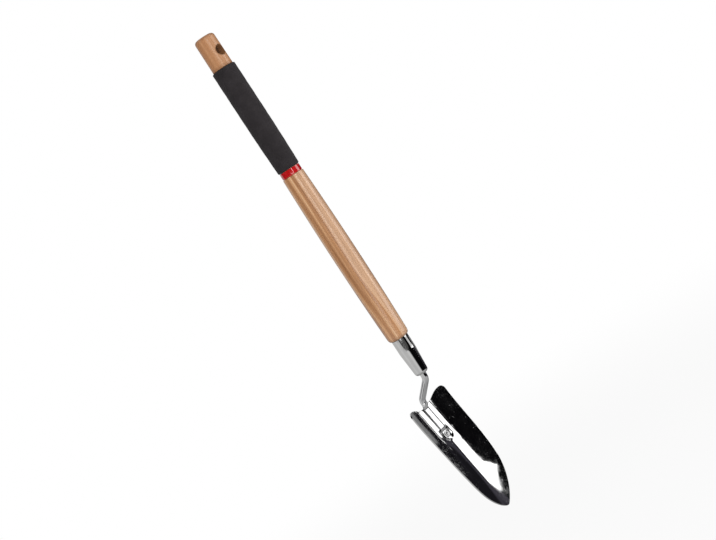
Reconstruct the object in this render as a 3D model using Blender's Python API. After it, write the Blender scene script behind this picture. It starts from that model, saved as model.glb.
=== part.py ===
"""Long-handled transplanting trowel.

Metres, +Z up. The tool hangs as it would on a hook: the hang hole's centre is the origin,
the handle runs along Z with the butt at the top, the blade is at the bottom and its
hollow faces -Y. The tool is the same on both sides of the plane X = 0.
"""
import math

import bmesh
import bpy
from mathutils import Matrix, Vector

# Shared fits
FIT_GAP = 0.0003            # between faces that touch on the real tool

# Handle: one turned ash stick
BUTT_HEIGHT = 0.0214        # hang hole centre to the butt's end face
BUTT_DIA = 0.0243
BUTT_ROUND = 0.0038         # rounding of the butt's edge
BARE_LENGTH = 0.0393        # bare wood from the butt to the grip
BARE_DIA = 0.0252           # just above the grip
GRIP_SEAT_DIA = 0.0224      # turned-down seat under the sleeve and the ring
HANDLE_LENGTH = 0.3914      # butt to the shoulder over the ferrule
WAIST_DIA = 0.0257          # wood just below the ring
BELLY_DIA = 0.0284          # thickest part of the barrel
BELLY_DROP = 0.2840         # butt to the thickest part
FOOT_DIA = 0.0257           # wood just above its rounded shoulder
FOOT_ROUND = 0.0052         # height of that rounded shoulder

# Hang hole, straight through the handle along Y
HANG_HOLE_DIA = 0.0120
HANG_HOLE_CHAMFER = 0.0007

# Foam sleeve and its ring
GRIP_LENGTH = 0.1298
GRIP_DIA = 0.0281
GRIP_FOOT_DIA = 0.0262      # the sleeve is slimmer at its lower end
GRIP_TAPER_LENGTH = 0.0700  # stretch over which it slims
GRIP_ROUND = 0.0012
RING_LENGTH = 0.0074
RING_DIA = 0.0246
RING_ROUND = 0.0007

# Ferrule: cylinder, then cone, then a rounded closed end
FERRULE_DIA = 0.0202
FERRULE_END_DIA = 0.0162
FERRULE_STRAIGHT = 0.0165
FERRULE_CONE = 0.0270
FERRULE_ROUND = 0.0036
FERRULE_WALL = 0.0010

# Neck rod
ROD_DIA = 0.0075
TANG_DEPTH = 0.0600         # how far the tang stands in the wood, above the shoulder
TANG_POINT = 0.0080         # length of its pointed end
TANG_TIP_DIA = 0.0026
NECK_DROP = 0.0068          # ferrule's end to the first bend's corner
NECK_SLANT = math.radians(47.4)
NECK_SETBACK = 0.0232       # handle axis to the second bend's corner
FIRST_BEND = 0.0100         # centre-line radii of the two bends
SECOND_BEND = 0.0080
FORGE_START = 0.0042        # second bend's corner to where the rod starts to flatten
FORGE_LENGTH = 0.0063       # stretch over which it goes from round to a flat bar
BAR_WIDTH = 0.0088
BAR_THICK = 0.0024          # at its upper end
BAR_END_THICK = 0.0016      # where it steps down to the pad
PADDLE_DIA = 0.0104         # round pad that takes the rivet
PADDLE_THICK = 0.0012
STEP_LAG = 0.0008           # the bar steps down this much later than its seat

# Blade: one pressed sheet
BLADE_TILT = math.radians(11.1)
BLADE_LENGTH = 0.1497       # shoulders to tip
BLADE_HALF_WIDTH = 0.0371
SHEET = 0.0015
EDGE_DROP = 0.0079          # second bend's corner to the middle of the top edge, along the blade
SHOULDER_RISE = 0.0069      # how far the shoulders stand above the middle of the top edge
SHOULDER_FLAT = 0.0050      # half the level stretch in the middle of the top edge
SHOULDER_REACH = 0.0290     # distance from the middle at which the shoulders are reached
CORNER_ROUND = 0.0058
STRAIGHT_SIDE = 0.0280
SIDE_TAPER = 0.026          # half width lost for each unit of length
SIDE_FULLNESS = 4.8         # how long the sides stay wide before the tip
TIP_BLUNTNESS = 1.25       # larger is blunter
TIP_RADIUS = 0.0015
SEAT_HEAD = 0.0009          # how far the seat stands proud of the centre line at the top edge
SEAT_HALF_WIDTH = 0.0131    # flat seat pressed for the rod
WALL_RISE = 0.0010          # low step from the seat up to the wings, and how soon it levels off
WALL_REACH = 0.0012
WING_SLOPE = 0.352
WING_BOW = 0.5              # slope gained for each unit of distance, halved
SEAT_LENGTH = 0.0445        # shoulders to the seat's lower end
SEAT_FADE = 0.0180          # stretch over which the seat runs into the trough
HEAD_FADE = 0.0600          # stretch over which the trough's bottom falls back to the centre line
HEAD_HALF_WIDTH = 0.0040
HEAD_WALL = 0.0120
DISH_DEPTH = 0.0018         # round recess at the seat's end that takes the pad and the rivet
DISH_RADIUS = 0.0058
DISH_WALL = 0.0035
TROUGH_ROUND = 0.0128
TROUGH_SLOPE = 0.41
CURL_RISE = 0.0011          # the wings stand this much higher at the shoulders
CURL_LENGTH = 0.0263
TIP_FLATTEN = 0.35          # share of the hollow's depth that is lost by the tip
TIP_FLATTEN_START = 0.0950

# Rivet through the flattened end and the sheet
RIVET_DROP = 0.0384         # middle of the top edge to the rivet, along the seat
RIVET_DIA = 0.0046
RIVET_HEAD_DIA = 0.0080
RIVET_HEAD_HEIGHT = 0.0006
RIVET_RING_DIA = 0.0054     # crest of the rolled ring on the head
RIVET_DIMPLE = 0.0005       # depth of the hollow in the ring
RIVET_TAIL_DIA = 0.0078
RIVET_TAIL_HEIGHT = 0.0013

# Facets
WOOD_SIDES = 40
SLEEVE_SIDES = 40
FERRULE_SIDES = 40
ROD_SIDES = 20
RIVET_SIDES = 20
BLADE_COLUMNS = 34
BLADE_ROWS = 42
CRISP = math.radians(30)    # edges sharper than this stay sharp


def half(dia):
    return dia / 2.0


# Levels along the handle, worked out from the sizes above
seat_top = BUTT_HEIGHT - BARE_LENGTH
sleeve_top = seat_top - FIT_GAP
sleeve_foot = sleeve_top - GRIP_LENGTH
ring_top = sleeve_foot - FIT_GAP
ring_foot = ring_top - RING_LENGTH
seat_foot = ring_foot - FIT_GAP
shoulder = BUTT_HEIGHT - HANDLE_LENGTH
belly = BUTT_HEIGHT - BELLY_DROP
ferrule_top = shoulder - FIT_GAP
ferrule_knee = ferrule_top - FERRULE_STRAIGHT
ferrule_lip = ferrule_knee - FERRULE_CONE
ferrule_end = ferrule_lip - FERRULE_ROUND
tang_top = shoulder + TANG_DEPTH
first_corner = ferrule_end - NECK_DROP
second_corner = first_corner - NECK_SETBACK / math.tan(NECK_SLANT)

# Directions of the blade and its seat: down the length, and out of the hollow
blade_down = Vector((0.0, -math.sin(BLADE_TILT), -math.cos(BLADE_TILT)))
blade_front = Vector((0.0, -math.cos(BLADE_TILT), math.sin(BLADE_TILT)))
rod_height = half(ROD_DIA) + FIT_GAP          # rod's centre over the seat
rod_corner = Vector((0.0, NECK_SETBACK, second_corner))
edge_middle = rod_corner - blade_front * rod_height + blade_down * EDGE_DROP
blade_origin = edge_middle - blade_down * SHOULDER_RISE - blade_front * SEAT_HEAD
rivet_place = edge_middle + blade_down * RIVET_DROP - blade_front * DISH_DEPTH
rivet_level = SHOULDER_RISE + RIVET_DROP      # shoulders to the rivet


def clearScene():
    for obj in list(bpy.data.objects):
        bpy.data.objects.remove(obj, do_unlink=True)


def makeMaterial(name, colour, roughness, metallic=0.0):
    mat = bpy.data.materials.new(name)
    mat.use_nodes = True
    shader = mat.node_tree.nodes["Principled BSDF"]
    shader.inputs["Base Color"].default_value = (*colour, 1.0)
    shader.inputs["Roughness"].default_value = roughness
    shader.inputs["Metallic"].default_value = metallic
    mat.diffuse_color = (*colour, 1.0)
    return mat


def addObject(name, bm, mat, parent=None):
    """Turn a finished bmesh into a named, shaded object."""
    bmesh.ops.recalc_face_normals(bm, faces=bm.faces)
    mesh = bpy.data.meshes.new(name)
    bm.to_mesh(mesh)
    bm.free()
    mesh.shade_smooth()
    mesh.set_sharp_from_angle(angle=CRISP)
    mesh.materials.append(mat)
    obj = bpy.data.objects.new(name, mesh)
    bpy.context.collection.objects.link(obj)
    obj.parent = parent
    return obj


def arcPoints(centre, radius_out, radius_down, start, end, steps):
    """Points (radius, height) on an elliptic arc; angles from outwards (0) to upwards (90)."""
    points = []
    for i in range(steps + 1):
        angle = math.radians(start + (end - start) * i / steps)
        points.append((centre[0] + radius_out * math.cos(angle), centre[1] + radius_down * math.sin(angle)))
    return points


def turnProfile(profile, sides, closed):
    """Spin a profile of (radius, height) points about Z into a bmesh."""
    bm = bmesh.new()
    verts = [bm.verts.new((radius, 0.0, height)) for radius, height in profile]
    edges = [bm.edges.new(pair) for pair in zip(verts, verts[1:])]
    if closed:
        edges.append(bm.edges.new((verts[-1], verts[0])))
    bmesh.ops.spin(bm, geom=verts + edges, cent=(0, 0, 0), axis=(0, 0, 1), dvec=(0, 0, 0),
                   angle=2 * math.pi, steps=sides, use_merge=True)
    bmesh.ops.remove_doubles(bm, verts=bm.verts, dist=1e-6)
    bmesh.ops.dissolve_degenerate(bm, edges=bm.edges, dist=1e-7)
    return bm


def subtract(obj, cutter):
    """Cut one object from another and keep the cutter as a hidden guide."""
    cutter.hide_render = True
    cutter.display_type = "WIRE"
    cut = obj.modifiers.new("cut_" + cutter.name, "BOOLEAN")
    cut.operation = "DIFFERENCE"
    cut.solver = "EXACT"
    cut.object = cutter


def barrelRadius(height):
    """Radius of the wood below the ring: two parabolas that meet at the belly."""
    if height > belly:
        edge, reach = half(WAIST_DIA), seat_foot - belly
    else:
        edge, reach = half(FOOT_DIA), belly - (shoulder + FOOT_ROUND)
    share = (height - belly) / reach
    return half(BELLY_DIA) - (half(BELLY_DIA) - edge) * share * share


def ferruleBore(height):
    """Inner radius of the ferrule at a height."""
    straight = half(FERRULE_DIA) - FERRULE_WALL
    slope = (half(FERRULE_DIA) - half(FERRULE_END_DIA)) / FERRULE_CONE
    return straight - slope * max(0.0, ferrule_knee - height)


def buildHandle(wood):
    rod_bore = half(ROD_DIA) + FIT_GAP
    tenon_end = ferrule_end + FERRULE_WALL + FIT_GAP
    bore_end = tang_top + FIT_GAP
    foot_round_out = half(FOOT_DIA) - half(FERRULE_DIA)
    profile = [(0.0, BUTT_HEIGHT)]
    butt_centre = (half(BUTT_DIA) - BUTT_ROUND, BUTT_HEIGHT - BUTT_ROUND)
    profile += arcPoints(butt_centre, BUTT_ROUND, BUTT_ROUND, 90, 0, 5)
    profile += [(half(BARE_DIA), seat_top), (half(GRIP_SEAT_DIA), seat_top)]
    profile += [(half(GRIP_SEAT_DIA), seat_foot), (half(WAIST_DIA), seat_foot)]
    steps = 14
    for i in range(1, steps):
        height = seat_foot + (shoulder + FOOT_ROUND - seat_foot) * i / steps
        profile.append((barrelRadius(height), height))
    foot_centre = (half(FOOT_DIA) - foot_round_out, shoulder + FOOT_ROUND)
    profile += arcPoints(foot_centre, foot_round_out, FOOT_ROUND, 0, -90, 5)
    profile += [(ferruleBore(shoulder) - FIT_GAP, shoulder)]
    profile += [(ferruleBore(ferrule_knee) - FIT_GAP, ferrule_knee)]
    profile += [(ferruleBore(tenon_end) - FIT_GAP, tenon_end)]
    profile += [(rod_bore, tenon_end), (rod_bore, bore_end - TANG_POINT)]
    profile += [(half(TANG_TIP_DIA) + FIT_GAP, bore_end), (0.0, bore_end)]
    handle = addObject("handle", turnProfile(profile, WOOD_SIDES, closed=False), wood)

    # The hang hole's cutter: a rod along Y that flares at both mouths
    mouth = half(BARE_DIA)
    flare = half(HANG_HOLE_DIA) + 2 * HANG_HOLE_CHAMFER
    reach = mouth + HANG_HOLE_CHAMFER
    throat = mouth - HANG_HOLE_CHAMFER
    outline = [(0.0, reach), (flare, reach), (half(HANG_HOLE_DIA), throat),
               (half(HANG_HOLE_DIA), -throat), (flare, -reach), (0.0, -reach)]
    cutter = addObject("hang_hole_cutter", turnProfile(outline, 32, closed=False), wood)
    cutter.rotation_euler = (math.radians(90), 0.0, 0.0)
    subtract(handle, cutter)
    return handle


def sleeveRadius(height):
    """Outer radius of the foam sleeve: straight, then eased in to its lower end."""
    share = min(1.0, max(0.0, 1.0 - (height - sleeve_foot) / GRIP_TAPER_LENGTH))
    return half(GRIP_DIA) - (half(GRIP_DIA) - half(GRIP_FOOT_DIA)) * share * share


def buildGrip(foam):
    bore = half(GRIP_SEAT_DIA) + FIT_GAP
    profile = [(bore, sleeve_top)]
    profile += arcPoints((half(GRIP_DIA) - GRIP_ROUND, sleeve_top - GRIP_ROUND), GRIP_ROUND, GRIP_ROUND, 90, 0, 3)
    taper_start = sleeve_foot + GRIP_TAPER_LENGTH
    profile.append((half(GRIP_DIA), (sleeve_top + taper_start) / 2))
    steps = 7
    for i in range(steps):
        height = taper_start - (GRIP_TAPER_LENGTH - GRIP_ROUND) * i / steps
        profile.append((sleeveRadius(height), height))
    foot_centre = (half(GRIP_FOOT_DIA) - GRIP_ROUND, sleeve_foot + GRIP_ROUND)
    profile += arcPoints(foot_centre, GRIP_ROUND, GRIP_ROUND, 0, -90, 3)
    profile.append((bore, sleeve_foot))
    return addObject("foam_grip", turnProfile(profile, SLEEVE_SIDES, closed=True), foam)


def buildRing(plastic):
    bore = half(GRIP_SEAT_DIA) + FIT_GAP
    out = half(RING_DIA) - RING_ROUND
    profile = [(bore, ring_top)]
    profile += arcPoints((out, ring_top - RING_ROUND), RING_ROUND, RING_ROUND, 90, 0, 2)
    profile += arcPoints((out, ring_foot + RING_ROUND), RING_ROUND, RING_ROUND, 0, -90, 2)
    profile.append((bore, ring_foot))
    return addObject("grip_ring", turnProfile(profile, SLEEVE_SIDES, closed=True), plastic)


def buildFerrule(steel):
    inner_end = ferrule_end + FERRULE_WALL
    hole = half(ROD_DIA) + FIT_GAP
    profile = [(half(FERRULE_DIA), ferrule_top), (half(FERRULE_DIA), ferrule_knee)]
    lip_centre = (half(FERRULE_END_DIA) - FERRULE_ROUND, ferrule_lip)
    profile += arcPoints(lip_centre, FERRULE_ROUND, FERRULE_ROUND, 0, -90, 5)
    profile += [(hole, ferrule_end), (hole, inner_end)]
    profile += [(ferruleBore(inner_end), inner_end), (ferruleBore(ferrule_knee), ferrule_knee)]
    profile += [(ferruleBore(ferrule_top), ferrule_top)]
    return addObject("ferrule", turnProfile(profile, FERRULE_SIDES, closed=True), steel)


def filletPath(corners, radii, arc_steps):
    """Centre line through the corners, with each inner corner rounded. Gives (point, direction)."""
    path = [(corners[0], (corners[1] - corners[0]).normalized())]
    for before, corner, after, radius in zip(corners, corners[1:], corners[2:], radii):
        inward = (corner - before).normalized()
        outward = (after - corner).normalized()
        turn = inward.angle(outward)
        tangent = radius * math.tan(turn / 2)
        axis = inward.cross(outward).normalized()
        start = corner - inward * tangent
        centre = start + axis.cross(inward) * radius
        for i in range(arc_steps + 1):
            spin = Matrix.Rotation(turn * i / arc_steps, 3, axis)
            path.append((centre + spin @ (start - centre), spin @ inward))
    path.append((corners[-1], (corners[-1] - corners[-2]).normalized()))
    return path


def sectionRing(centre, direction, width, thick):
    """Points round an oval section: width along X, thick across it in the plane X = 0."""
    across = direction.cross(Vector((1.0, 0.0, 0.0))).normalized()
    ring = []
    for i in range(ROD_SIDES):
        angle = 2 * math.pi * i / ROD_SIDES
        # a superellipse: round while width equals thick, squarer as the section is forged flat
        power = 2.0 / (2.0 + 1.6 * (1.0 - thick / width))
        x = math.copysign(abs(math.cos(angle)) ** power, math.cos(angle)) * width / 2
        y = math.copysign(abs(math.sin(angle)) ** power, math.sin(angle)) * thick / 2
        ring.append(centre + Vector((x, 0.0, 0.0)) + across * y)
    return ring


def loftRings(rings):
    """Skin a run of rings and close both ends."""
    bm = bmesh.new()
    loops = []
    for ring in rings:
        verts = [bm.verts.new(point) for point in ring]
        edges = [bm.edges.new((verts[i - 1], verts[i])) for i in range(len(verts))]
        loops.append((verts, edges))
    for (_, upper), (_, lower) in zip(loops, loops[1:]):
        bmesh.ops.bridge_loops(bm, edges=upper + lower)
    bm.faces.new(loops[0][0])
    bm.faces.new(loops[-1][0])
    return bm


def easeStep(value, start, span):
    """Rise smoothly from 0 to 1 as value goes from start to start + span."""
    share = min(1.0, max(0.0, (value - start) / span))
    return share * share * (3 - 2 * share)


def buildRod(steel):
    rivet_from_corner = EDGE_DROP + RIVET_DROP
    top = Vector((0.0, 0.0, tang_top - TANG_POINT))
    corners = [top, Vector((0.0, 0.0, first_corner)), rod_corner, rod_corner + blade_down * FORGE_START]
    path = filletPath(corners, [FIRST_BEND, SECOND_BEND], 8)[:-1]
    tip = Vector((0.0, 0.0, tang_top))
    rings = [sectionRing(tip, path[0][1], TANG_TIP_DIA, TANG_TIP_DIA)]
    rings += [sectionRing(point, direction, ROD_DIA, ROD_DIA) for point, direction in path]

    # Forge the end: a bar, a step down into the recess, and a round pad, with the underside always on the seat
    seat_line = rod_corner - blade_front * half(ROD_DIA)
    forged = FORGE_START + FORGE_LENGTH
    step_start = rivet_from_corner - DISH_RADIUS - DISH_WALL + STEP_LAG
    stations = [(FORGE_START + FORGE_LENGTH * i / 5, BAR_WIDTH) for i in range(1, 6)]
    stations += [(forged + (step_start - forged) * i / 3, BAR_WIDTH) for i in range(1, 4)]
    stations += [(step_start + DISH_WALL * i / 6, BAR_WIDTH) for i in range(1, 7)]
    round_steps = 5
    for i in range(round_steps + 1):
        swing = math.radians(82.0 * i / round_steps)
        stations.append((rivet_from_corner + half(PADDLE_DIA) * math.sin(swing), PADDLE_DIA * math.cos(swing)))
    for distance, full_width in stations:
        flat = easeStep(distance, FORGE_START, FORGE_LENGTH)
        step = easeStep(distance, step_start, DISH_WALL)
        thin = min(1.0, max(0.0, (distance - forged) / (step_start - forged)))
        bar = BAR_THICK + (BAR_END_THICK - BAR_THICK) * thin
        thick = ROD_DIA + (bar - ROD_DIA) * flat
        thick += (PADDLE_THICK - thick) * step
        width = ROD_DIA + (full_width - ROD_DIA) * flat
        centre = seat_line + blade_down * distance + blade_front * (thick / 2 - DISH_DEPTH * step)
        rings.append(sectionRing(centre, blade_down, width, thick))
    return addObject("neck_rod", loftRings(rings), steel)


def blankHalfWidth(down):
    """Half width of the sheet's outline at a distance below the shoulders."""
    width = BLADE_HALF_WIDTH - SIDE_TAPER * down
    if down < CORNER_ROUND:
        lift = CORNER_ROUND - down
        return width - CORNER_ROUND + math.sqrt(CORNER_ROUND ** 2 - lift ** 2)
    share = max(0.0, (down - STRAIGHT_SIDE) / (BLADE_LENGTH - STRAIGHT_SIDE))
    return width * (1.0 - min(1.0, share) ** SIDE_FULLNESS) ** (1.0 / TIP_BLUNTNESS)


def topEdgeDip(across):
    """How far the top edge lies below the shoulders at a distance from the middle."""
    return SHOULDER_RISE * (1.0 - easeStep(abs(across), SHOULDER_FLAT, SHOULDER_REACH - SHOULDER_FLAT))


def hollowRise(across, slope, rounding):
    """A rounded V: level at the middle, then rising at a steady slope."""
    return slope * (math.hypot(across, rounding) - rounding)


def pressDepth(across, down):
    """How far the pressed sheet stands in front of the blade's centre line."""
    curl = CURL_RISE * max(0.0, 1.0 - down / CURL_LENGTH) ** 1.5
    beside = max(0.0, abs(across) - SEAT_HALF_WIDTH)
    wall = (WALL_RISE + curl) * (1.0 - math.exp(-beside / WALL_REACH))
    upper = SEAT_HEAD + wall + WING_SLOPE * beside + WING_BOW * beside ** 2
    flatten = 1.0 - TIP_FLATTEN * easeStep(down, TIP_FLATTEN_START, BLADE_LENGTH - TIP_FLATTEN_START)
    lower = flatten * hollowRise(across, TROUGH_SLOPE, TROUGH_ROUND)
    middle = 1.0 - easeStep(abs(across), HEAD_HALF_WIDTH, HEAD_WALL)
    lower += SEAT_HEAD * middle * (1.0 - easeStep(down, SEAT_LENGTH, HEAD_FADE))
    from_rivet = math.hypot(across, max(0.0, down - rivet_level))
    dish = 1.0 - easeStep(from_rivet, DISH_RADIUS, DISH_WALL)
    dish *= easeStep(down, rivet_level - DISH_RADIUS - DISH_WALL, DISH_WALL)
    return upper + (lower - upper) * easeStep(down, SEAT_LENGTH, SEAT_FADE) - DISH_DEPTH * dish


def rowLevels():
    """Distances down the blade at which the blank has a row of points, closest round the recess."""
    corner_rows, seat_rows, dish_rows = 4, 7, 14
    tip_rows = BLADE_ROWS - corner_rows - seat_rows - dish_rows
    dish_top = rivet_level - DISH_RADIUS - DISH_WALL
    dish_foot = rivet_level + DISH_RADIUS + DISH_WALL
    levels = [CORNER_ROUND * (1 - math.cos(math.pi / 2 * i / corner_rows)) for i in range(corner_rows)]
    levels += [CORNER_ROUND + (dish_top - CORNER_ROUND) * i / seat_rows for i in range(seat_rows)]
    levels += [dish_top + (dish_foot - dish_top) * i / dish_rows for i in range(dish_rows)]
    reach = BLADE_LENGTH - TIP_RADIUS / 4 - dish_foot
    levels += [dish_foot + reach * math.sin(math.pi / 2 * i / tip_rows) for i in range(tip_rows + 1)]
    return levels


def buildBlade(steel, blade_frame, seat_frame):
    # A flat blank, cut to the outline and then pressed, as the real one is
    bm = bmesh.new()
    bmesh.ops.create_grid(bm, x_segments=BLADE_COLUMNS, y_segments=BLADE_ROWS, size=1.0)
    levels = rowLevels()
    for vert in bm.verts:
        row = round((1.0 - vert.co.y) / 2.0 * BLADE_ROWS)
        level = levels[row]
        spread = vert.co.x * (0.55 + 0.45 * vert.co.x ** 2)      # columns stand closer round the seat
        across = spread * blankHalfWidth(level)
        fade = 1.0 - easeStep(level, 0.0, STRAIGHT_SIDE)
        down = level + topEdgeDip(across) * fade
        vert.co = Vector((across, -pressDepth(across, down), -down))
    blade = addObject("blade", bm, steel, parent=blade_frame)
    wall = blade.modifiers.new("sheet", "SOLIDIFY")
    wall.thickness = SHEET
    wall.offset = 1.0
    wall.use_even_offset = True

    hole = half(RIVET_DIA) + FIT_GAP
    punch = addObject("rivet_punch", turnProfile([(0, 0.01), (hole, 0.01), (hole, -0.01), (0, -0.01)],
                                                 RIVET_SIDES, closed=False), steel, parent=seat_frame)
    punch.rotation_euler = (math.radians(90), 0.0, 0.0)
    subtract(blade, punch)
    return punch


def buildRivet(steel, seat_frame):
    face = FIT_GAP + PADDLE_THICK + FIT_GAP        # front of the flattened rod end, and the gap
    back = -(SHEET + FIT_GAP)
    rim = half(RIVET_HEAD_DIA)
    crest = half(RIVET_RING_DIA)
    top = face + RIVET_HEAD_HEIGHT
    profile = [(0.0, top - RIVET_DIMPLE), (crest * 0.45, top - RIVET_DIMPLE * 0.75)]
    profile += [(crest * 0.75, top - RIVET_DIMPLE * 0.15), (crest, top)]
    profile += arcPoints((crest, face), rim - crest, RIVET_HEAD_HEIGHT, 72, 0, 4)
    profile += [(half(RIVET_DIA), face), (half(RIVET_DIA), back)]
    profile += arcPoints((half(RIVET_DIA), back), half(RIVET_TAIL_DIA) - half(RIVET_DIA), -RIVET_TAIL_HEIGHT, 0, 90, 4)
    profile += [(0.0, back - RIVET_TAIL_HEIGHT)]
    rivet = addObject("rivet", turnProfile(profile, RIVET_SIDES, closed=False), steel, parent=seat_frame)
    rivet.rotation_euler = (math.radians(90), 0.0, 0.0)


def addFrame(name, place, tilt):
    """An empty that carries the pieces of a tilted stretch."""
    frame = bpy.data.objects.new(name, None)
    bpy.context.collection.objects.link(frame)
    frame.location = place
    frame.rotation_euler = (-tilt, 0.0, 0.0)
    return frame


def main():
    clearScene()
    wood = makeMaterial("ash_wood", (0.62, 0.40, 0.22), 0.45)
    foam = makeMaterial("black_foam", (0.028, 0.026, 0.030), 0.85)
    plastic = makeMaterial("red_plastic", (0.55, 0.010, 0.015), 0.20)
    steel = makeMaterial("polished_steel", (0.80, 0.80, 0.79), 0.06, metallic=1.0)

    buildHandle(wood)
    buildGrip(foam)
    buildRing(plastic)
    buildFerrule(steel)
    rod = buildRod(steel)

    blade_frame = addFrame("blade_frame", blade_origin, BLADE_TILT)
    seat_frame = addFrame("seat_frame", rivet_place, BLADE_TILT)
    punch = buildBlade(steel, blade_frame, seat_frame)
    subtract(rod, punch)
    buildRivet(steel, seat_frame)
    bpy.context.view_layer.update()


main()
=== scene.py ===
import math

import bpy
from mathutils import Matrix, Vector


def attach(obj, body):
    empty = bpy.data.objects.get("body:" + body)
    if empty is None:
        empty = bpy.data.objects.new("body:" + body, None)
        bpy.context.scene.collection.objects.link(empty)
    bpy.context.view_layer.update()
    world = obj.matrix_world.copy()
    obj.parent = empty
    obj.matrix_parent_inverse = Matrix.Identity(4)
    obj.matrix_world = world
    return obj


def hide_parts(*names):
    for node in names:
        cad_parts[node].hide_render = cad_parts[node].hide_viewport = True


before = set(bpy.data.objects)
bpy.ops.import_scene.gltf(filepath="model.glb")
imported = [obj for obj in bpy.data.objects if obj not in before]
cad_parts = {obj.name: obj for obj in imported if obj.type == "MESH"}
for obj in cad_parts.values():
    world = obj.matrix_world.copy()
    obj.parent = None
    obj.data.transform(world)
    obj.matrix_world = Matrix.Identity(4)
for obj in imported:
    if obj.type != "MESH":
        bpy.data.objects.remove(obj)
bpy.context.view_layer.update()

print("frame loaded:", sorted(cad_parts))


# Shader helpers: a Wire is a socket that can be used in sums, a Bench makes the nodes.
# Colours are red, green and blue.

white = (1, 1, 1)


class Wire:
    def __init__(self, bench, socket):
        self.bench = bench
        self.socket = socket

    def sum(self, operation, first, second):
        return self.bench.make("ShaderNodeMath", {"operation": operation}, {0: first, 1: second})

    def __add__(self, other):
        return self.sum("ADD", self, other)

    def __radd__(self, other):
        return self.sum("ADD", other, self)

    def __sub__(self, other):
        return self.sum("SUBTRACT", self, other)

    def __rsub__(self, other):
        return self.sum("SUBTRACT", other, self)

    def __mul__(self, other):
        return self.sum("MULTIPLY", self, other)

    def __rmul__(self, other):
        return self.sum("MULTIPLY", other, self)

    def __truediv__(self, other):
        return self.sum("DIVIDE", self, other)

    def __rtruediv__(self, other):
        return self.sum("DIVIDE", other, self)


class Bench:
    def __init__(self, tree):
        self.tree = tree
        tree.nodes.clear()

    def make(self, kind, settings=None, sockets=None, out=0):
        # every node comes from here: first its settings, then its sockets, by value or by wire
        node = self.tree.nodes.new(kind)
        for name, value in (settings or {}).items():
            if name == "stops":                       # a colour ramp's (position, colour) pairs
                ramp = node.color_ramp
                while len(ramp.elements) < len(value):
                    ramp.elements.new(0.5)
                for stop, (place, colour) in zip(ramp.elements, value):
                    stop.position = place
                    stop.color = (*colour, 1.0)
            else:
                setattr(node, name, value)
        for name, value in (sockets or {}).items():
            socket = node.inputs[name]
            if isinstance(value, Wire):
                self.tree.links.new(value.socket, socket)
            else:
                socket.default_value = (*value, 1.0) if socket.type == "RGBA" else value
        return Wire(self, node.outputs[out]) if node.outputs else None

    def coords(self, stretch=(1, 1, 1)):
        place = self.make("ShaderNodeTexCoord", out="Object")
        return self.make("ShaderNodeMapping", {}, {"Vector": place, "Scale": stretch})

    def noise(self, vector, scale, detail=2.0, rough=0.5):
        return self.make("ShaderNodeTexNoise", {}, {"Vector": vector, "Scale": scale,
                                                    "Detail": detail, "Roughness": rough})

    def grain(self, stretch, *kind):
        # noise drawn out along an axis where stretch is small
        return self.noise(self.coords(stretch), *kind)

    def cells(self, vector, scale):
        return self.make("ShaderNodeTexVoronoi", {}, {"Vector": vector, "Scale": scale})

    def band(self, value, low, high, start=0.0, end=1.0):
        # carry value from low..high over to start..end, held at both ends
        return self.make("ShaderNodeMapRange", {"clamp": True, "interpolation_type": "SMOOTHSTEP"},
                         {"Value": value, "From Min": low, "From Max": high,
                          "To Min": start, "To Max": end})

    def fade(self, value, low, high):
        return self.band(value, low, high, 1.0, 0.0)

    def tint(self, factor, first, second):
        return self.make("ShaderNodeMix", {"data_type": "RGBA"},
                         {0: factor, 6: first, 7: second}, out=2)

    def ramp(self, factor, stops):
        return self.make("ShaderNodeValToRGB", {"stops": stops}, {"Fac": factor})

    def bump(self, height, strength, distance):
        return self.make("ShaderNodeBump", {}, {"Height": height, "Strength": strength,
                                                "Distance": distance})

    def finish(self, kind, sockets, end="ShaderNodeOutputMaterial"):
        # the last shader, and the output that it feeds
        self.make(end, {}, {"Surface": self.make(kind, {}, sockets)})


def newMaterial(name):
    mat = bpy.data.materials.new(name)
    mat.use_nodes = True
    return mat, Bench(mat.node_tree)


# Modelling helpers

def clearSelection():
    if bpy.context.mode != "OBJECT":
        bpy.ops.object.mode_set(mode="OBJECT")
    bpy.ops.object.select_all(action="DESELECT")


def pick(piece):
    clearSelection()
    bpy.context.view_layer.objects.active = piece
    piece.select_set(True)


def startEdit(piece):
    pick(piece)
    bpy.ops.object.mode_set(mode="EDIT")


def namePiece(name):
    piece = bpy.context.object
    piece.name = name
    piece.data.name = name
    return piece


def clamp(value):
    return min(1.0, max(0.0, value))


def ease(value, start, span):
    share = clamp((value - start) / span)
    return share * share * (3 - 2 * share)


def arc(centre, across, up, start, end, steps):
    # points (radius, height) on a rounded corner, angles from outwards to upwards
    points = []
    for i in range(steps + 1):
        angle = math.radians(start + (end - start) * i / steps)
        points.append((centre[0] + across * math.cos(angle), centre[1] + up * math.sin(angle)))
    return points


def upperCorner(radius, top, bend, steps):
    return arc((radius - bend, top - bend), bend, bend, 90, 0, steps)


def lowerCorner(radius, foot, bend, steps):
    return arc((radius - bend, foot + bend), bend, bend, 0, -90, steps)


def drawOutline(name, outline):
    # one vertex, extruded from point to point in the plane Y = 0, left in edit mode and selected
    clearSelection()
    bpy.ops.mesh.primitive_plane_add(size=0.001, location=(outline[0][0], 0, outline[0][1]))
    piece = namePiece(name)
    bpy.ops.object.transform_apply(location=True, rotation=True, scale=True)
    startEdit(piece)
    bpy.ops.mesh.select_all(action="SELECT")
    bpy.ops.mesh.merge(type="CENTER")
    bpy.ops.mesh.select_mode(type="VERT")
    for before, after in zip(outline, outline[1:]):
        move = (after[0] - before[0], 0, after[1] - before[1])
        bpy.ops.mesh.extrude_vertices_move(TRANSFORM_OT_translate={"value": move})
    bpy.ops.mesh.select_all(action="SELECT")
    return piece


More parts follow.
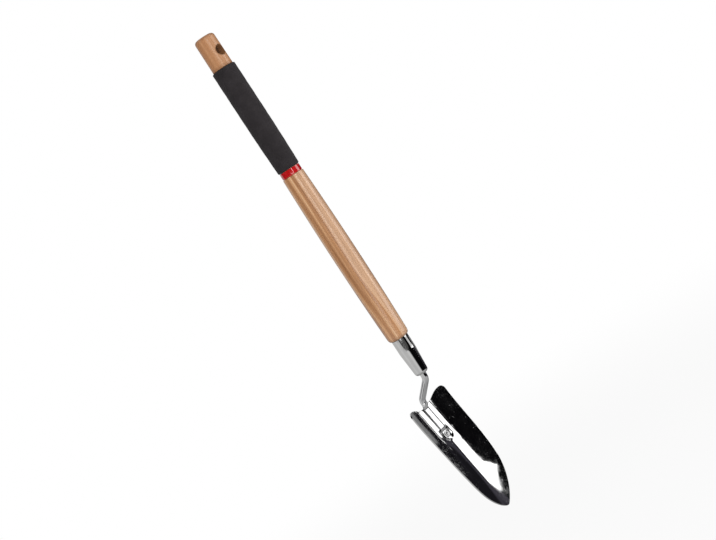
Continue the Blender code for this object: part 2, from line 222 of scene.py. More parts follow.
def turnPiece(name, outline, sides):
    # spin the outline about Z as on a lathe, then close its seam and poles
    piece = drawOutline(name, outline)
    bpy.ops.mesh.spin(steps=sides, angle=2 * math.pi, center=(0, 0, 0), axis=(0, 0, 1))
    bpy.ops.mesh.select_all(action="SELECT")
    bpy.ops.mesh.remove_doubles(threshold=1e-6)
    bpy.ops.mesh.normals_make_consistent(inside=False)
    bpy.ops.object.mode_set(mode="OBJECT")
    return piece


def smooth(piece, degrees):
    pick(piece)
    bpy.ops.object.shade_smooth_by_angle(angle=math.radians(degrees))


def applyModifier(piece, kind, **settings):
    pick(piece)
    modifier = piece.modifiers.new(kind.lower(), kind)
    for name, value in settings.items():
        setattr(modifier, name, value)
    bpy.ops.object.modifier_apply(modifier=modifier.name)


def cutAway(piece, cutter):
    applyModifier(piece, "BOOLEAN", operation="DIFFERENCE", solver="EXACT", object=cutter)
    bpy.data.objects.remove(cutter, do_unlink=True)


def standOn(piece, place, tilt):
    # carry a piece turned about Z over to an axis that leans in the plane X = 0
    pick(piece)
    piece.rotation_euler = (math.radians(90) - tilt, 0, 0)
    piece.location = place
    bpy.ops.object.transform_apply(location=True, rotation=True, scale=True)


def finishPiece(piece, mat, slot, *nodes):
    piece.data.materials.clear()
    piece.data.materials.append(mat)
    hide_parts(*nodes)
    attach(piece, "root")
    print("made", piece.name, len(piece.data.polygons), "faces")


# Camera, at the photograph's angle; the handle leans in the picture because the camera is rolled

cameraValues = {"azimuth": -49.0, "elevation": 4.384, "roll": -33.177, "distance": 1.65,
                "aim": (0.001763, -0.002028, -0.28233), "lens": 75.42, "sensor": 36}


def addCamera(v):
    turn, lift, roll = (math.radians(v[name]) for name in ("azimuth", "elevation", "roll"))
    right = Vector((math.cos(turn), math.sin(turn), 0))
    back = Vector((math.sin(turn) * math.cos(lift), -math.cos(turn) * math.cos(lift),
                   math.sin(lift)))
    up = back.cross(right)
    across = math.cos(roll) * right + math.sin(roll) * up
    upright = math.cos(roll) * up - math.sin(roll) * right
    camera = bpy.data.objects.new("camera", bpy.data.cameras.new("camera"))
    bpy.context.scene.collection.objects.link(camera)
    camera.data.sensor_width = v["sensor"]
    camera.data.lens = v["lens"]
    spot = Vector(v["aim"]) + v["distance"] * back
    facing = Matrix((across, upright, back)).transposed().to_4x4()
    camera.matrix_world = Matrix.Translation(spot) @ facing
    bpy.context.scene.camera = camera


addCamera(cameraValues)
print("camera set")


# Light. Angles are in degrees to the right of the camera, seen from the object, and levels are
# brightness. Heights are metres, in the room degrees above the horizon. Dull surfaces get an even
# soft light. Polished ones see the room: pale to the left, dark to the right, with a pale floor.

roomValues = {"soft": 0.66, "softRear": 0.42, "softEdge": (-0.6, 0.6),
              "pale": 0.52, "paleEdge": (-4, 12), "paleLean": 1.1, "paleRaise": 8,
              "peak": 0.14, "peakRise": (-100, -75), "peakFall": (-75, -50),
              "front": 0.18, "frontRise": (-30, -6),
              "glow": 0.040, "glowRise": (101, 108), "glowFall": (110, 117),
              "dark": 0.0028, "haze": 0.009, "hazeEdge": (99, 103),
              "floorLevel": 0.45, "floorEdge": (-20, -30), "floorRear": 0.30,
              "rearEdge": (-0.9, 0.1), "floorUnder": 0.70, "underEdge": (-80, -28),
              "tint": (0.84, 0.79, 1.0), "tintEdge": (0.05, 0.15)}


def addRoom(v):
    world = bpy.data.worlds.new("room")
    bpy.context.scene.world = world
    world.use_nodes = True
    bench = Bench(world.node_tree)
    direction = bench.make("ShaderNodeTexCoord", out="Generated")
    turn = math.radians(cameraValues["azimuth"])

    def along(axis):
        return bench.make("ShaderNodeVectorMath", {"operation": "DOT_PRODUCT"},
                          {0: direction, 1: axis}, out="Value")

    # toward is 1 behind the camera and -1 behind the trowel
    toward = along((math.sin(turn), -math.cos(turn), 0))
    right = along((math.cos(turn), math.sin(turn), 0))
    aside = bench.make("ShaderNodeMath", {"operation": "ARCTAN2"}, {0: right, 1: toward})
    aside = aside * (180 / math.pi)
    height = bench.make("ShaderNodeMath", {"operation": "ARCSINE"}, {0: along((0, 0, 1))})
    height = height * (180 / math.pi)
    # the pale side reaches further right low down
    edge = aside + (height + v["paleRaise"]) * v["paleLean"]
    pale = bench.fade(edge, *v["paleEdge"])
    peak = v["peak"] * bench.band(aside, *v["peakRise"]) * bench.fade(aside, *v["peakFall"])
    pale = pale * (1 + peak + v["front"] * bench.band(aside, *v["frontRise"]))
    glow = bench.band(aside, *v["glowRise"]) * bench.fade(aside, *v["glowFall"])
    haze = bench.band(aside, *v["hazeEdge"])
    level = pale * v["pale"] + glow * v["glow"] + haze * v["haze"] + v["dark"]
    below = bench.band(height, *v["floorEdge"])
    # the floor darkens to the rear, and right under the tool
    ground = v["floorLevel"] * bench.band(toward, *v["rearEdge"], v["floorRear"], 1.0)
    ground = ground * bench.band(height, *v["underEdge"], v["floorUnder"], 1.0)
    level = level + below * (ground - level)
    seen = bench.make("ShaderNodeLightPath", out="Is Camera Ray")
    mirrored = bench.make("ShaderNodeLightPath", out="Is Glossy Ray")
    soft = bench.band(toward, *v["softEdge"], v["softRear"], v["soft"])
    colour = bench.tint(mirrored * bench.fade(level, *v["tintEdge"]), white, v["tint"])
    level = seen + (1 - seen) * (mirrored * level + (1 - mirrored) * soft)
    bench.finish("ShaderNodeBackground", {"Color": colour, "Strength": level},
                 "ShaderNodeOutputWorld")


# Lamps that fill a span of angles and heights, and one even fill that mirrors don't see

lamps = {"stripSoftbox": {"aside": (19.5, 24.5), "distance": 1.30, "bottom": -0.29, "top": 0.45,
                          "level": 3.6},
         "lowLamp": {"aside": (-14, 18), "distance": 2.40, "bottom": -0.690, "top": -0.312,
                     "level": 1.4},
         "rearLamp": {"aside": (124, 165), "distance": 0.60, "bottom": -0.524, "top": -0.455,
                      "level": 0.22}}

fillValues = {"place": (-1.6, -1.5, 0.7), "aim": (0, 0, -0.3), "size": 1.2, "watts": 16}


def newLamp(name, shape):
    lamp = bpy.data.objects.new(name, bpy.data.lights.new(name, "AREA"))
    bpy.context.scene.collection.objects.link(lamp)
    lamp.data.shape = shape
    lamp.visible_camera = False
    return lamp


def addLamp(name, v):
    left, right = v["aside"]
    middle = math.radians((left + right) / 2 + cameraValues["azimuth"])
    width = 2 * v["distance"] * math.tan(math.radians(right - left) / 2)
    tall = v["top"] - v["bottom"]
    lamp = newLamp(name, "RECTANGLE")
    lamp.data.size, lamp.data.size_y = width, tall
    lamp.data.energy = v["level"] * math.pi * width * tall
    lamp.location = (v["distance"] * math.sin(middle), -v["distance"] * math.cos(middle),
                     (v["top"] + v["bottom"]) / 2)
    lamp.rotation_euler = (math.radians(90), 0, middle)


def addFillLamp(v):
    lamp = newLamp("fillLamp", "SQUARE")
    lamp.data.size = v["size"]
    lamp.data.energy = v["watts"]
    lamp.location = v["place"]
    way = Vector(v["aim"]) - Vector(v["place"])
    lamp.rotation_euler = way.to_track_quat("-Z", "Y").to_euler()
    lamp.visible_glossy = False


# Flat boards that light or shade what mirrors see, and dull surfaces too where diffuse is set.
# An outline is (angle, height) pairs round the board; the others are rectangles.

boards = {"sideSoftbox": {"distance": 0.90, "level": 1.7, "diffuse": True, "outline": [
              (99.3, -0.549), (99.3, 1.0), (71, 1.0), (71.5, -0.20), (73, -0.30), (75.5, -0.37),
              (74, -0.415), (70, -0.441), (66, -0.452), (62.5, -0.468), (61, -0.49), (61, -0.541),
              (66, -0.540), (70, -0.537), (75, -0.538), (79, -0.543), (86, -0.548)]},
          "tipGlow": {"aside": (84, 110), "distance": 0.90, "bottom": -0.603, "top": -0.551,
                      "level": 0.06, "tint": (0.86, 0.80, 1.0)},
          "leftCard": {"aside": (-110, -8), "distance": 0.50, "bottom": -0.434, "top": 0.25,
                       "level": 0.01},
          "ferruleCard": {"aside": (-32, 37), "distance": 0.30, "bottom": -0.432, "top": -0.409,
                          "level": 0.075},
          "ferruleStrip": {"aside": (64, 92), "distance": 0.29, "bottom": -0.4278, "top": -0.409,
                           "level": 0.60},
          "ferruleEdge": {"aside": (50, 64), "distance": 0.30, "bottom": -0.4300, "top": -0.409,
                          "level": 0.006},
          "ferruleFlag": {"aside": (92, 112), "distance": 0.30, "bottom": -0.4262, "top": -0.409,
                          "level": 0.004}}


def addBoard(name, v):
    outline = v.get("outline")
    if outline is None:
        (left, right), low, high = v["aside"], v["bottom"], v["top"]
        outline = [(left, low), (left, high), (right, high), (right, low)]
    angles = [angle for angle, height in outline]
    middle = (min(angles) + max(angles)) / 2
    turn = math.radians(middle + cameraValues["azimuth"])
    board = drawOutline(name, [(v["distance"] * math.tan(math.radians(angle - middle)), height)
                               for angle, height in outline])
    bpy.ops.mesh.edge_face_add()
    bpy.ops.object.mode_set(mode="OBJECT")
    board.location = (v["distance"] * math.sin(turn), -v["distance"] * math.cos(turn), 0)
    board.rotation_euler = (0, 0, turn)
    mat, bench = newMaterial(name + "Glow")
    bench.finish("ShaderNodeEmission", {"Color": v.get("tint", white), "Strength": v["level"]})
    board.data.materials.append(mat)
    board.visible_camera = board.visible_shadow = False
    board.visible_diffuse = v.get("diffuse", False)


# Floor: the camera sees it near white, and pure white further out

floorValues = {"height": -0.75, "size": 8.0, "colour": (0.95, 0.95, 0.95),
               "near": 0.86, "fade": (0.6, 1.6)}


def addFloor(v):
    clearSelection()
    bpy.ops.mesh.primitive_plane_add(size=v["size"], location=(0, 0, v["height"]))
    floor = namePiece("floor")
    mat, bench = newMaterial("paleFloor")
    seen = bench.make("ShaderNodeLightPath", out="Is Camera Ray")
    far = bench.make("ShaderNodeVectorMath", {"operation": "LENGTH"}, {0: bench.coords()},
                     out="Value")
    far = bench.band(far, *v["fade"], v["near"], 1.0)
    shade = bench.make("ShaderNodeBsdfDiffuse", {}, {"Color": v["colour"]})
    glow = bench.make("ShaderNodeEmission", {}, {"Color": white, "Strength": 1.0})
    bench.finish("ShaderNodeMixShader", {0: seen * far, 1: shade, 2: glow})
    floor.data.materials.append(mat)
    floor.visible_glossy = False


addRoom(roomValues)
for name, values in lamps.items():
    addLamp(name, values)
for name, values in boards.items():
    addBoard(name, values)
addFillLamp(fillValues)
addFloor(floorValues)
print("light and floor set")


# Wooden handle. Noises are (stretch, scale, detail, roughness); an edge is where a change starts
# and ends.

handleValues = {
    # sizes
    "buttTop": 0.0214, "buttRadius": 0.01215, "buttRound": 0.0038, "bareFoot": -0.0179,
    "bareRadius": 0.0126, "rimLean": 0.0002, "rimIn": 0.0005, "rimUp": 0.0004,
    "seatRadius": 0.0112, "seatFoot": -0.1560, "waistRadius": 0.01285, "waistRound": 0.0004,
    "barrelStart": 0.0010, "belly": -0.2626, "bellyRadius": 0.0142, "shoulder": -0.3700,
    "footRadius": 0.01285, "footHeight": 0.0052, "neckRadius": 0.0101, "tenonRadius": 0.0088,
    "tenonKnee": -0.3868, "tenonFoot": -0.4161, "tenonFootRadius": 0.0067, "boreRadius": 0.00405,
    "boreTop": -0.3097, "borePoint": 0.0080, "holeRadius": 0.0060, "mouthAcross": 0.00144,
    "mouthDeep": 0.00153, "mouthWide": 0.00198, "mouthClear": 0.0020,
    "sides": 128, "cornerSteps": 12, "barrelSteps": 40, "holeSides": 96, "mouthSteps": 8,
    # wood
    "sway": ((1, 1, 0.10), 42, 2),                        # slow wander of the grain
    "streak": ((1, 1, 0.022), 330, 3, 0.6),               # growth lines, long and narrow
    "fibre": ((1, 1, 0.014), 850, 3, 0.65),               # fine lines drawn out along the stick
    "patch": ((1, 1, 0.35), 26, 2),                       # lighter and darker places
    "pore": ((1, 1, 0.016), 560, 2, 0.6), "poreEdge": (0.53, 0.62),
    "layerWay": (0.656, 0.755), "ringWidth": 0.0070, "swayReach": 0.0030,
    "shiftEdge": (-0.27, -0.36), "shift": (0.0005, 0.0048),
    "lateRise": (0.15, 0.60), "lateFall": (0.86, 1.0), "sapSheenEdge": (-0.0004, 0.0006),
    "tone": 0.78, "lateTone": 0.40, "streakTone": 1.40, "patchTone": 0.35, "fibreTone": 0.80,
    "tones": [(0.0, (0.310, 0.130, 0.048)), (0.30, (0.445, 0.205, 0.084)),
              (0.60, (0.575, 0.290, 0.132)), (0.85, (0.680, 0.380, 0.188)),
              (1.0, (0.760, 0.480, 0.275))],
    # the sapwood tint that follows pales one side, and is partly a painted sheen on the side toward
    # the light
    "sapAndSheen": (0.55, (0.730, 0.485, 0.320)), "pores": (0.42, (0.400, 0.190, 0.085)),
    "upper": (0.7, (0.465, 0.212, 0.092)), "upperEdge": (-0.10, -0.01),
    # painted shade: the next values darken the butt's rounded edge, the wood above the sleeve and
    # the lower shoulder
    "paintedShade": (0.45, (0.260, 0.115, 0.050)), "buttShade": (0.0165, 0.0205),
    "rimShade": (-0.0130, -0.0170), "rimEnd": (-0.02, -0.019), "shoulderShade": (-0.3655, -0.3690),
    # painted shade: the next value darkens the inside of the hang hole
    "holeShade": (0.70, (0.16, 0.066, 0.021)), "holeEdge": (0.0061, 0.0074),
    "holeEnd": (-0.012, -0.011),
    "fibreBump": 0.3, "streakBump": 0.7, "bump": 0.05, "bumpDepth": 0.00015,
    "roughEdge": (0.3, 0.7), "rough": (0.52, 0.42), "ior": 1.45,
    "coat": 0.9, "coatLost": 0.55, "coatRough": 0.17, "coatIor": 1.7}


def barrel(v, height):
    # radius of the lower half, widest at the belly
    if height > v["belly"]:
        rim, reach = v["waistRadius"], v["seatFoot"] - v["belly"]
    else:
        rim, reach = v["footRadius"], v["belly"] - v["shoulder"] - v["footHeight"]
    share = (height - v["belly"]) / reach
    return v["bellyRadius"] - (v["bellyRadius"] - rim) * share * share


def makeHandle(v):
    # down the outside from the butt, then up the bore for the tang
    outline = [(0, v["buttTop"])]
    outline += upperCorner(v["buttRadius"], v["buttTop"], v["buttRound"], v["cornerSteps"])
    outline += [(v["bareRadius"] - v["rimLean"], v["bareFoot"] + v["rimUp"]),
                (v["bareRadius"] - v["rimIn"], v["bareFoot"])]
    outline += [(v["seatRadius"], v["bareFoot"]), (v["seatRadius"], v["seatFoot"])]
    outline += upperCorner(v["waistRadius"], v["seatFoot"], v["waistRound"], 3)
    top, foot = v["seatFoot"] - v["barrelStart"], v["shoulder"] + v["footHeight"]
    heights = [top + (foot - top) * i / v["barrelSteps"] for i in range(v["barrelSteps"])]
    outline += [(barrel(v, height), height) for height in heights]
    outline += arc((v["neckRadius"], foot), v["footRadius"] - v["neckRadius"], v["footHeight"],
                   0, -90, v["cornerSteps"])
    outline += [(v["tenonRadius"], v["shoulder"]), (v["tenonRadius"], v["tenonKnee"]),
                (v["tenonFootRadius"], v["tenonFoot"]), (v["boreRadius"], v["tenonFoot"]),
                (v["boreRadius"], v["boreTop"] - v["borePoint"]), (0, v["boreTop"])]
    handle = turnPiece("woodHandle", outline, v["sides"])

    # the hang hole's cutter swells at both ends, which rounds the mouths
    reach = v["bareRadius"]
    end = reach + v["mouthClear"]
    wide = v["holeRadius"] + v["mouthWide"]
    mouth = arc((v["holeRadius"] + v["mouthAcross"], reach - v["mouthDeep"]),
                v["mouthAcross"], v["mouthDeep"], 180, 90, v["mouthSteps"])
    outline = [(0, end), (wide, end), (wide, reach)] + mouth[::-1]
    outline += [(radius, -height) for radius, height in mouth]
    outline += [(wide, -reach), (wide, -end), (0, -end)]
    cutter = turnPiece("holeCutter", outline, v["holeSides"])
    standOn(cutter, (0, 0, 0), 0)
    cutAway(handle, cutter)
    smooth(handle, degrees=30)
    return handle


def varnishedAsh(v):
    mat, bench = newMaterial("varnishedAsh")
    place = bench.coords()
    sway, streak, fibre, patch = (bench.grain(*v[name])
                                  for name in ("sway", "streak", "fibre", "patch"))
    side, depth, height = (bench.make("ShaderNodeSeparateXYZ", {}, {"Vector": place}, out=axis)
                           for axis in "XYZ")
    # growth rings cross the stick as flat layers, each pale at first and darker towards the next
    layer = (side * v["layerWay"][0] - depth * v["layerWay"][1] + (sway - 0.5) * v["swayReach"]
             - bench.band(height, *v["shiftEdge"], *v["shift"]))
    ring = bench.make("ShaderNodeMath", {"operation": "FRACT"}, {0: layer / v["ringWidth"]})
    late = bench.band(ring, *v["lateRise"]) * bench.fade(ring, *v["lateFall"])
    pores = bench.band(bench.grain(*v["pore"]), *v["poreEdge"])    # open pores, thin dark lines
    sapAndSheen = bench.band(layer, *v["sapSheenEdge"])                         # sapwood on one side, paler; the paleness is partly a painted sheen on the side toward the light
    tone = (v["tone"] - late * v["lateTone"] + (streak - 0.5) * v["streakTone"]
            + (patch - 0.5) * v["patchTone"] + (fibre - 0.5) * v["fibreTone"])
    colour = bench.ramp(tone, v["tones"])

    def stain(mask, name):
        share, shade = v[name]
        return bench.tint(mask * share, colour, shade)

    colour = stain(sapAndSheen, "sapAndSheen")
    colour = stain(pores, "pores")
    upper = bench.band(height, *v["upperEdge"])
    colour = stain(upper, "upper")
    # painted shade: darker round the butt's rounded edge, just above the sleeve and at the lower
    # shoulder
    paintedShade = (bench.band(height, *v["buttShade"])
            + bench.band(height, *v["rimShade"]) * bench.band(height, *v["rimEnd"]))
    paintedShade = paintedShade + bench.band(height, *v["shoulderShade"])
    colour = stain(paintedShade, "paintedShade")
    # painted shade: the inside of the hang hole is darkened
    beside = bench.make("ShaderNodeCombineXYZ", {}, {"X": side, "Y": 0.0, "Z": height})
    beside = bench.make("ShaderNodeVectorMath", {"operation": "LENGTH"}, {0: beside}, out="Value")
    holeShade = bench.fade(beside, *v["holeEdge"]) * bench.band(height, *v["holeEnd"])
    colour = stain(holeShade, "holeShade")
    relief = fibre * v["fibreBump"] + streak * v["streakBump"]
    bumped = bench.bump(relief, v["bump"], v["bumpDepth"])
    rough = bench.band(streak, *v["roughEdge"], *v["rough"])
    bench.finish("ShaderNodeBsdfPrincipled", {
        "Base Color": colour, "Roughness": rough, "Normal": bumped, "IOR": v["ior"],
        "Coat Weight": v["coat"] - upper * v["coatLost"], "Coat Roughness": v["coatRough"],
        "Coat IOR": v["coatIor"]})
    return mat


handle = makeHandle(handleValues)
finishPiece(handle, varnishedAsh(handleValues), "ash_wood", "handle")


# Foam sleeve

foamValues = {
    # sizes; waves are (height, rate, start) and keep the foam from being quite straight
    "top": -0.0182, "foot": -0.1480, "radius": 0.01415, "footRadius": 0.0132, "taper": 0.070,
    "bore": 0.0115, "round": 0.0014, "mouthIn": 0.0005, "mouthDeep": 0.0006,
    "waves": ((0.00006, 310, 0), (0.00004, 777, 1)),
    "sides": 128, "wallSteps": 60, "cornerSteps": 6,
    # foam
    "cellScale": 2300.0, "grit": (1400, 3, 0.6), "gritTone": 0.8,
    "cloud": (90, 2), "cloudTone": 0.7,
    "tones": [(0.0, (0.014, 0.012, 0.013)), (0.5, (0.0245, 0.0205, 0.0225)),
              (1.0, (0.042, 0.037, 0.040))],
    "cellBump": 0.7, "gritBump": 0.5, "bump": 0.35, "bumpDepth": 0.0002,
    "roughEdge": (0.3, 0.7), "rough": (0.78, 0.92), "specular": 0.35,
    "sheen": 0.05, "sheenRough": 0.5}


def makeFoam(v):
    mouth = v["bore"] + v["mouthIn"]
    inside = (v["bore"], v["top"] - v["mouthDeep"])
    outline = [inside, (mouth, v["top"])]
    outline += upperCorner(v["radius"], v["top"], v["round"], v["cornerSteps"])
    top, foot = v["top"] - v["round"], v["foot"] + v["round"]
    for i in range(1, v["wallSteps"]):
        height = top + (foot - top) * i / v["wallSteps"]
        share = clamp(1.0 - (height - v["foot"]) / v["taper"])
        swell = sum(size * math.sin(height * rate + start) for size, rate, start in v["waves"])
        radius = v["radius"] - (v["radius"] - v["footRadius"]) * share * share + swell
        outline.append((radius, height))
    outline += lowerCorner(v["footRadius"], v["foot"], v["round"], v["cornerSteps"])
    outline += [(mouth, v["foot"]), (v["bore"], v["foot"] + v["mouthDeep"]), inside]
    foam = turnPiece("foamSleeve", outline, v["sides"])
    smooth(foam, degrees=40)
    return foam


def blackFoam(v):
    mat, bench = newMaterial("blackFoam")
    place = bench.coords()
    cells = bench.cells(place, v["cellScale"])
    grit = bench.noise(place, *v["grit"])
    cloud = bench.noise(place, *v["cloud"])
    tone = 0.5 + (cloud - 0.5) * v["cloudTone"] + (grit - 0.5) * v["gritTone"]
    colour = bench.ramp(tone, v["tones"])
    rough = bench.band(grit, *v["roughEdge"], *v["rough"])
    bumped = bench.bump(cells * v["cellBump"] + grit * v["gritBump"], v["bump"], v["bumpDepth"])
    bench.finish("ShaderNodeBsdfPrincipled", {
        "Base Color": colour, "Roughness": rough, "Normal": bumped, "Sheen Weight": v["sheen"],
        "Sheen Roughness": v["sheenRough"], "Specular IOR Level": v["specular"]})
    return mat


foam = makeFoam(foamValues)
finishPiece(foam, blackFoam(foamValues), "black_foam", "foam_grip")


# Red ring

ringValues = {
    # sizes
    "top": -0.1483, "foot": -0.1557, "radius": 0.0123, "bore": 0.0115, "round": 0.0007,
    "sides": 128, "cornerSteps": 6,
    # plastic
    "cloud": (260, 2), "cloudEdge": (0.35, 0.65),
    "colour": ((0.49, 0.0035, 0.005), (0.56, 0.007, 0.010)), "bump": 0.02, "bumpDepth": 0.0001,
    "scuff": (900, 2), "scuffEdge": (0.35, 0.65), "rough": (0.14, 0.24),
    "coat": 1.0, "coatRough": 0.06, "coatIor": 1.9}


def makeRing(v):
    outline = [(v["bore"], v["top"])]
    outline += upperCorner(v["radius"], v["top"], v["round"], v["cornerSteps"])
    outline += lowerCorner(v["radius"], v["foot"], v["round"], v["cornerSteps"])
    outline += [(v["bore"], v["foot"]), (v["bore"], v["top"])]
    ring = turnPiece("redRing", outline, v["sides"])
    smooth(ring, degrees=40)
    return ring


def redPlastic(v):
    mat, bench = newMaterial("redPlastic")
    place = bench.coords()
    cloud = bench.noise(place, *v["cloud"])
    colour = bench.tint(bench.band(cloud, *v["cloudEdge"]), *v["colour"])
    rough = bench.band(bench.noise(place, *v["scuff"]), *v["scuffEdge"], *v["rough"])
    bumped = bench.bump(cloud, v["bump"], v["bumpDepth"])
    bench.finish("ShaderNodeBsdfPrincipled", {
        "Base Color": colour, "Roughness": rough, "Normal": bumped, "Coat Weight": v["coat"],
        "Coat Roughness": v["coatRough"], "Coat IOR": v["coatIor"]})
    return mat


ring = makeRing(ringValues)
finishPiece(ring, redPlastic(ringValues), "red_plastic", "grip_ring")


# Polished steel, for the ferrule, the rod, the blade and the rivet. A piece's own values may set
# another tint, gloss (its least and most roughness) or wear, which scales specks and marks.

steelValues = {"tint": (0.84, 0.84, 0.83), "gloss": (0.035, 0.075), "wear": 1.0,
               "marks": (1800, 2, 0.6), "markBump": 0.02, "markDepth": 0.00002,
               "haze": (120, 3, 0.55), "hazeEdge": (0.3, 0.7), "hazeShare": 0.5,
               "hazeShade": (0.93, 0.93, 0.95), "glossEdge": (0.35, 0.65),
               "speckScale": 330.0, "speckEdge": (0.06, 0.15), "dustEdge": (0.48, 0.56),
               "dustRough": 0.40}


def polishedSteel(name, values):
    v = {**steelValues, **values}
    mat, bench = newMaterial(name)
    place = bench.coords()
    marks = bench.grain(v["markStretch"], *v["marks"])
    haze = bench.noise(place, *v["haze"])
    speck = bench.cells(place, v["speckScale"])
    dust = bench.fade(speck, *v["speckEdge"]) * bench.band(haze, *v["dustEdge"])
    dull = tuple(part * shade for part, shade in zip(v["tint"], v["hazeShade"]))
    colour = bench.tint(bench.band(haze, *v["hazeEdge"]) * v["hazeShare"], v["tint"], dull)
    rough = bench.band(haze, *v["glossEdge"], *v["gloss"]) + dust * (v["dustRough"] * v["wear"])
    bumped = bench.bump(marks, v["markBump"] * v["wear"], v["markDepth"])
    bench.finish("ShaderNodeBsdfPrincipled", {"Base Color": colour, "Roughness": rough,
                                              "Normal": bumped, "Metallic": 1.0})
    return mat


# Ferrule

ferruleValues = {"top": -0.3703, "knee": -0.3868, "lip": -0.4138, "foot": -0.4174,
                 "radius": 0.0101, "lipRadius": 0.0081, "lipRound": 0.0036, "lipStart": -2,
                 "wall": 0.0010, "hole": 0.00405, "rimBreak": 0.00015, "kneeReach": 0.0010,
                 "kneeDrop": 0.0002, "holeBreak": 0.0002, "lipSteps": 16, "sides": 160,
                 "markStretch": (0.3, 0.3, 1)}


def makeFerrule(v):
    # down the outside, round the lip, through the rod's hole and up the inside
    slope = (v["radius"] - v["lipRadius"]) / (v["knee"] - v["lip"])
    middle = (v["radius"] - v["wall"] / 2, v["top"])
    floor = v["foot"] + v["wall"]
    inside = v["radius"] - v["wall"]
    outline = [middle, (v["radius"] - v["rimBreak"], v["top"]),
               (v["radius"], v["top"] - v["rimBreak"])]
    outline += [(v["radius"], v["knee"] + v["kneeReach"]),
                (v["radius"] - slope * v["kneeDrop"], v["knee"]),
                (v["radius"] - slope * v["kneeReach"], v["knee"] - v["kneeReach"])]
    outline += arc((v["lipRadius"] - v["lipRound"], v["lip"]), v["lipRound"], v["lipRound"],
                   v["lipStart"], -90, v["lipSteps"])
    outline += [(v["hole"] + v["holeBreak"], v["foot"]), (v["hole"], v["foot"] + v["holeBreak"]),
                (v["hole"], floor),
                (v["lipRadius"] - v["wall"] + slope * (floor - v["lip"]), floor),
                (inside, v["knee"]), (inside, v["top"]), middle]
    ferrule = turnPiece("steelFerrule", outline, v["sides"])
    smooth(ferrule, degrees=30)
    return ferrule


ferrule = makeFerrule(ferruleValues)
finishPiece(ferrule, polishedSteel("ferruleSteel", ferruleValues), "polished_steel", "ferrule")


# Neck rod: drawn straight, bent twice, then forged flat where it meets the blade. What happens
# on the blade is measured along the rod from its second corner.

rodValues = {"radius": 0.00375, "top": -0.3100, "point": 0.0080, "pointRadius": 0.0013,
             "firstCorner": -0.4242, "slant": 47.4, "setback": 0.0232, "firstBend": 0.0100,
             "secondBend": 0.0080, "seatTilt": 11.1, "flatStart": 0.0042, "flatFull": 0.0105,
             "barHalf": 0.0044, "barTop": 0.0017, "barEnd": 0.0013, "barSquare": 1.5,
             "stepStart": 0.0378, "step": 0.0035, "stepDepth": 0.0018, "rivet": 0.0463,
             "padRadius": 0.0052, "padThick": 0.0012, "sides": 64, "bendSteps": 24,
             "slopeSteps": 4, "barSteps": 60, "padSteps": 24,
             "markStretch": (1, 1, 0.2), "tint": (0.82, 0.82, 0.82), "gloss": (0.05, 0.08)}


def rodCorner(v):
    drop = v["setback"] / math.tan(math.radians(v["slant"]))
    return Vector((0, v["setback"], v["firstCorner"] - drop))


def seatDirections(v):
    # down along the blade's seat, and out of its front
    tilt = math.radians(v["seatTilt"])
    down = Vector((0, -math.sin(tilt), -math.cos(tilt)))
    return down, Vector((0, -math.cos(tilt), math.sin(tilt)))


def makeRod(v):
    down, front = seatDirections(v)
    slant = math.radians(v["slant"])                          # how far the first bend turns
    second = slant + math.radians(v["seatTilt"])              # and the second
    firstRun = v["firstBend"] * math.tan(slant / 2)
    secondRun = v["secondBend"] * math.tan(second / 2)
    corner = rodCorner(v)
    slope = Vector((0, math.sin(slant), -math.cos(slant)))
    start, end = v["firstCorner"] + firstRun, v["top"] - v["point"]
    clearSelection()
    bpy.ops.mesh.primitive_cylinder_add(vertices=v["sides"], radius=v["radius"], depth=end - start,
                                        end_fill_type="NGON", location=(0, 0, (end + start) / 2))
    rod = namePiece("neckRod")
    bpy.ops.object.transform_apply(location=True, rotation=True, scale=True)
    startEdit(rod)
    bpy.ops.mesh.select_mode(type="FACE")

    def grab(way):
        # select the cap that faces this way
        bpy.ops.mesh.select_all(action="DESELECT")
        bpy.ops.object.mode_set(mode="OBJECT")
        for face in rod.data.polygons:
            face.select = len(face.vertices) > 4 and face.normal.dot(way) > 0.9
        bpy.ops.object.mode_set(mode="EDIT")

    def draw(way, length, steps=1):
        for _ in range(steps):
            move = tuple(way * (length / steps))
            bpy.ops.mesh.extrude_region_move(TRANSFORM_OT_translate={"value": move})

    grab(Vector((0, 0, 1)))
    draw(Vector((0, 0, 1)), v["point"])
    shrink = v["pointRadius"] / v["radius"]
    bpy.ops.transform.resize(value=(shrink, shrink, 1), center_override=(0, 0, v["top"]))
    grab(Vector((0, 0, -1)))
    bpy.ops.mesh.spin(steps=v["bendSteps"], angle=-slant, center=(0, v["firstBend"], start),
                      axis=(1, 0, 0))
    between = (corner - Vector((0, 0, v["firstCorner"]))).length
    draw(slope, between - firstRun - secondRun, v["slopeSteps"])
    side = Vector((0, -math.cos(slant), -math.sin(slant)))
    centre = corner - slope * secondRun + side * v["secondBend"]
    bpy.ops.mesh.spin(steps=v["bendSteps"], angle=second, center=tuple(centre), axis=(1, 0, 0))
    draw(down, v["rivet"] - secondRun, v["barSteps"])
    reaches = [v["padRadius"] * math.sin(math.pi / 2 * i / v["padSteps"])
               for i in range(v["padSteps"] + 1)]
    for before, after in zip(reaches, reaches[1:]):           # ever closer towards the pad's rim
        draw(down, after - before)
    bpy.ops.object.mode_set(mode="OBJECT")
    return rod


